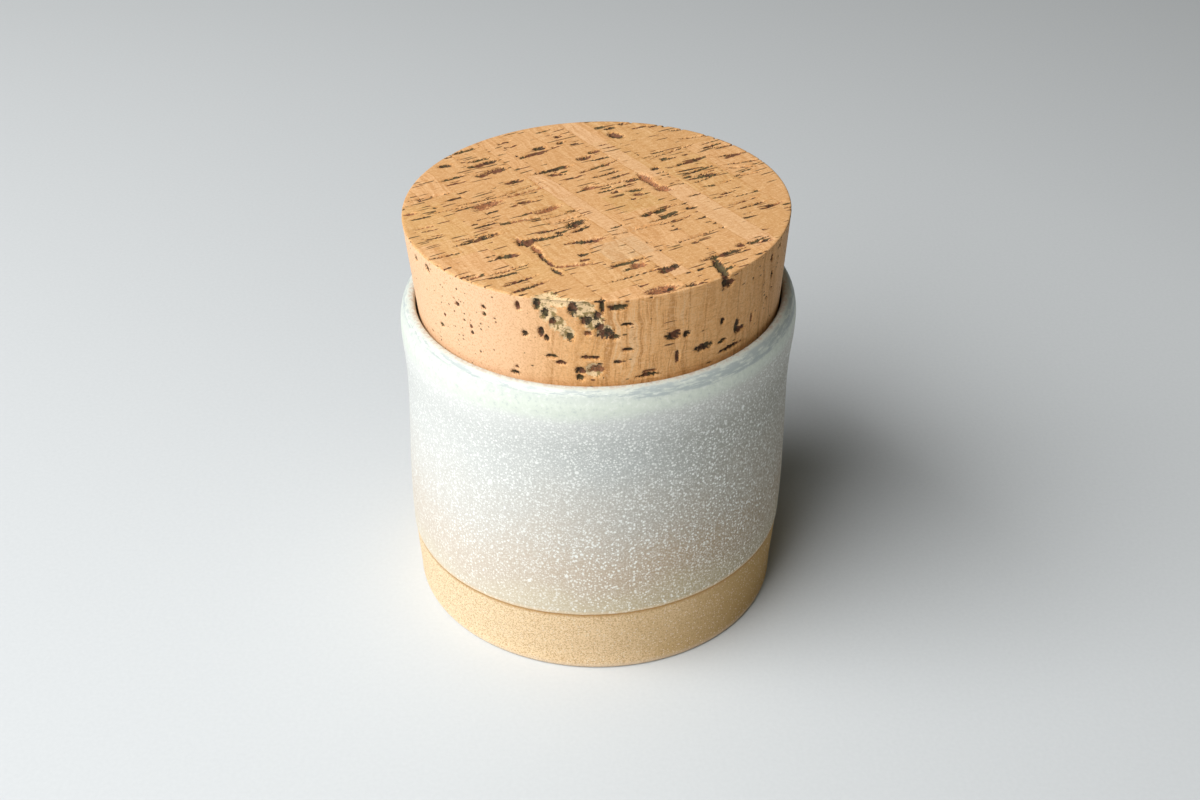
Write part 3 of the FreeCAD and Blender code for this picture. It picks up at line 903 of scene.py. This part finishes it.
crumbly = mixed(tree, spread(tree, crumbs, 0.38, 0.28), crumbly, PORE_DARK)
colour = mixed(tree, spread(tree, field["bark"], 1.05, 0.90, 0.0, 0.9), colour, crumbly)
red_brown = mixed(tree, spread(tree, crumbs, 0.42, 0.58), PORE_RED, STAIN)
red_brown = mixed(tree, spread(tree, crumbs, 0.40, 0.32), red_brown, PORE_DARK)
colour = mixed(tree, spread(tree, field["stains"], 1.05, 0.90, 0.0, 0.85), colour, red_brown)
pores = spread(tree, field["pores"], -0.008, 0.022)
splits = spread(tree, field["splits"], -0.008, 0.025, 0.0, 0.85)
flaws = spread(tree, field["flaws"], 1.02, 0.92)
opened = calc(tree, "MAXIMUM", calc(tree, "MAXIMUM", pores, splits), flaws)
colour = mixed(tree, times(tree, opened, 0.95), colour, lining)
rough = spread(tree, cells, 0.3, 0.7, 0.70, 0.88, smooth=False)
relief = minus(tree, times_plus(tree, cells, 0.35, times(tree, years, 0.35)), opened)
surfaced(tree, shader, colour, rough, relief, 0.8, 0.12 * MM)

cork_stopper = bpy.data.objects.new("cork_stopper_turned", cork_blank())
scene.collection.objects.link(cork_stopper)
baked(cork_stopper, weathering_tree(), {"Pore depth": 0.45 * MM, "Flaw depth": 0.85 * MM,
                                        "Bark depth": 0.5 * MM, "Lean": CANT_TURN, "Material": cork})
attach(cork_stopper, "root")
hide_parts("cork_stopper")


# --- The floor and the light ------------------------------------------------
# A plain pale floor that turns into an even backdrop far out, one broad window-like lamp
# from the left and front, and weak light from the room, warmer on the +X side and weakest
# from overhead.
FLOOR_REACH = 3.0
FLOOR_DARK = (0.58, 0.615, 0.645, 1)
FLOOR_PALE = (0.63, 0.665, 0.695, 1)
BACKDROP = (0.56, 0.585, 0.61, 1)   # what a low view shows past the lit floor
BLACK = (0.0, 0.0, 0.0, 1)
LIT_REACH = 0.55                    # from here out the floor turns into the backdrop
BACKDROP_REACH = 1.9                # and from here on it has
floor_mesh = bpy.data.meshes.new("floor")
corners = [(x * FLOOR_REACH, y * FLOOR_REACH, 0) for x, y in ((-1, -1), (1, -1), (1, 1), (-1, 1))]
floor_mesh.from_pydata(corners, [], [(0, 1, 2, 3)])
floor = bpy.data.objects.new("floor", floor_mesh)
scene.collection.objects.link(floor)
plain, tree, shader = new_material("pale_floor")
place = node(tree, "ShaderNodeTexCoord").outputs["Object"]
mottle = noise(tree, place, 900.0)
floor_colour = mixed(tree, mottle, FLOOR_DARK, FLOOR_PALE)
seen = node(tree, "ShaderNodeLightPath").outputs["Is Camera Ray"]
far_out = spread(tree, length_of(tree, place), LIT_REACH, BACKDROP_REACH)
beyond = times(tree, far_out, seen)
tree.links.new(mixed(tree, beyond, floor_colour, BLACK), shader.inputs["Base Color"])
tree.links.new(mixed(tree, beyond, BLACK, BACKDROP), shader.inputs["Emission Color"])
shader.inputs["Emission Strength"].default_value = 1.0
plain.cycles.emission_sampling = "NONE"
shader.inputs["Roughness"].default_value = 0.9
floor_mesh.materials.append(plain)

ROOM_NEAR = (0.92, 0.83, 0.52, 1)   # the wall that the shaded side faces
ROOM_FAR = (0.97, 0.985, 1.0, 1)
ROOM_LEVEL = 0.135
ROOM_OVERHEAD = 0.050
KEY_TURN = math.radians(216)
KEY_RISE = math.radians(48)
KEY_DISTANCE = 1.20
KEY_AIM = Vector((0, 0, 0.05))      # about the middle of the jar
KEY_SIZE = (1.31, 0.80)
KEY_POWER = 25.9
key = bpy.data.objects.new("window", bpy.data.lights.new("window", "AREA"))
key.data.shape = "RECTANGLE"
key.data.size = KEY_SIZE[0]
key.data.size_y = KEY_SIZE[1]
key.data.energy = KEY_POWER
key.data.color = (1.0, 0.985, 0.96)
direction = Vector((math.cos(KEY_TURN), math.sin(KEY_TURN), math.tan(KEY_RISE))).normalized()
key.location = direction * KEY_DISTANCE + KEY_AIM
key.rotation_euler = direction.to_track_quat("Z", "Y").to_euler()
scene.collection.objects.link(key)

world = bpy.data.worlds.new("room")
world.use_nodes = True
tree = world.node_tree
background = tree.nodes["Background"]
across, _, up = parts_of(tree, node(tree, "ShaderNodeTexCoord").outputs["Generated"])
warm_side = spread(tree, across, -0.4, 0.9)
seen = node(tree, "ShaderNodeLightPath").outputs["Is Camera Ray"]
room = mixed(tree, warm_side, ROOM_FAR, ROOM_NEAR)
tree.links.new(mixed(tree, seen, room, BACKDROP), background.inputs["Color"])
low = spread(tree, calc(tree, "ABSOLUTE", up), 0.15, 0.85, ROOM_LEVEL, ROOM_OVERHEAD)
tree.links.new(calc(tree, "MAXIMUM", low, seen), background.inputs["Strength"])
scene.world = world
scene.view_settings.view_transform = "Standard"
